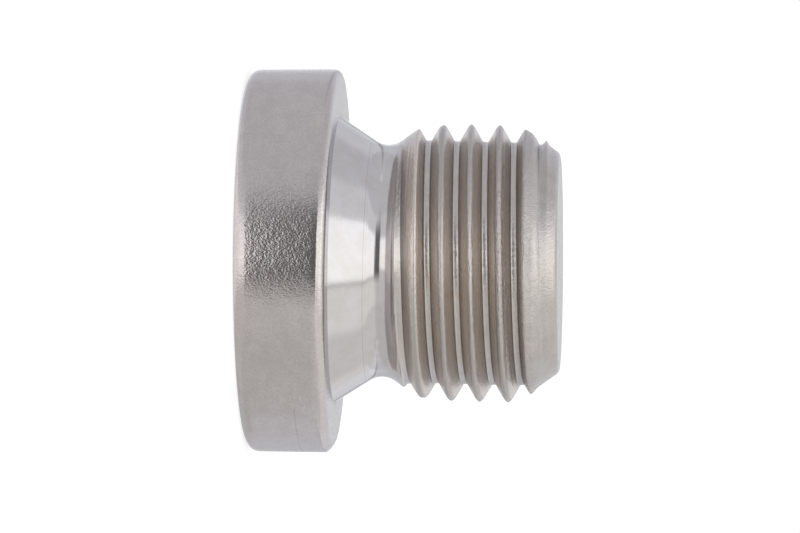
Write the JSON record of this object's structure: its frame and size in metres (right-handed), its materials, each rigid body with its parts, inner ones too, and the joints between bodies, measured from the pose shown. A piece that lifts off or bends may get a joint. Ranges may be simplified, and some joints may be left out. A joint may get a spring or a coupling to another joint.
{
  "type": "hex socket plug",
  "caption": "Collared screw plug with a hexagon socket in its head, a turned neck and a short fine thread with a coned tip, for closing a threaded port.",
  "frame": {"origin": "centre of the collar's underside, the annular face that seals, on the plug's axis", "axes": "+Z along the axis from the head to the threaded tip, so the plug stands on its head; X and Y square to it, with two corners of the hexagon socket on the X axis"},
  "size_m": [0.0136, 0.0136, 0.011],
  "materials": {
    "steel": "bare stainless steel, turned and tumbled to a satin, brighter on the neck"
  },
  "bodies": {
    "root": {"plug": "steel"}
  },
  "joints": []
}
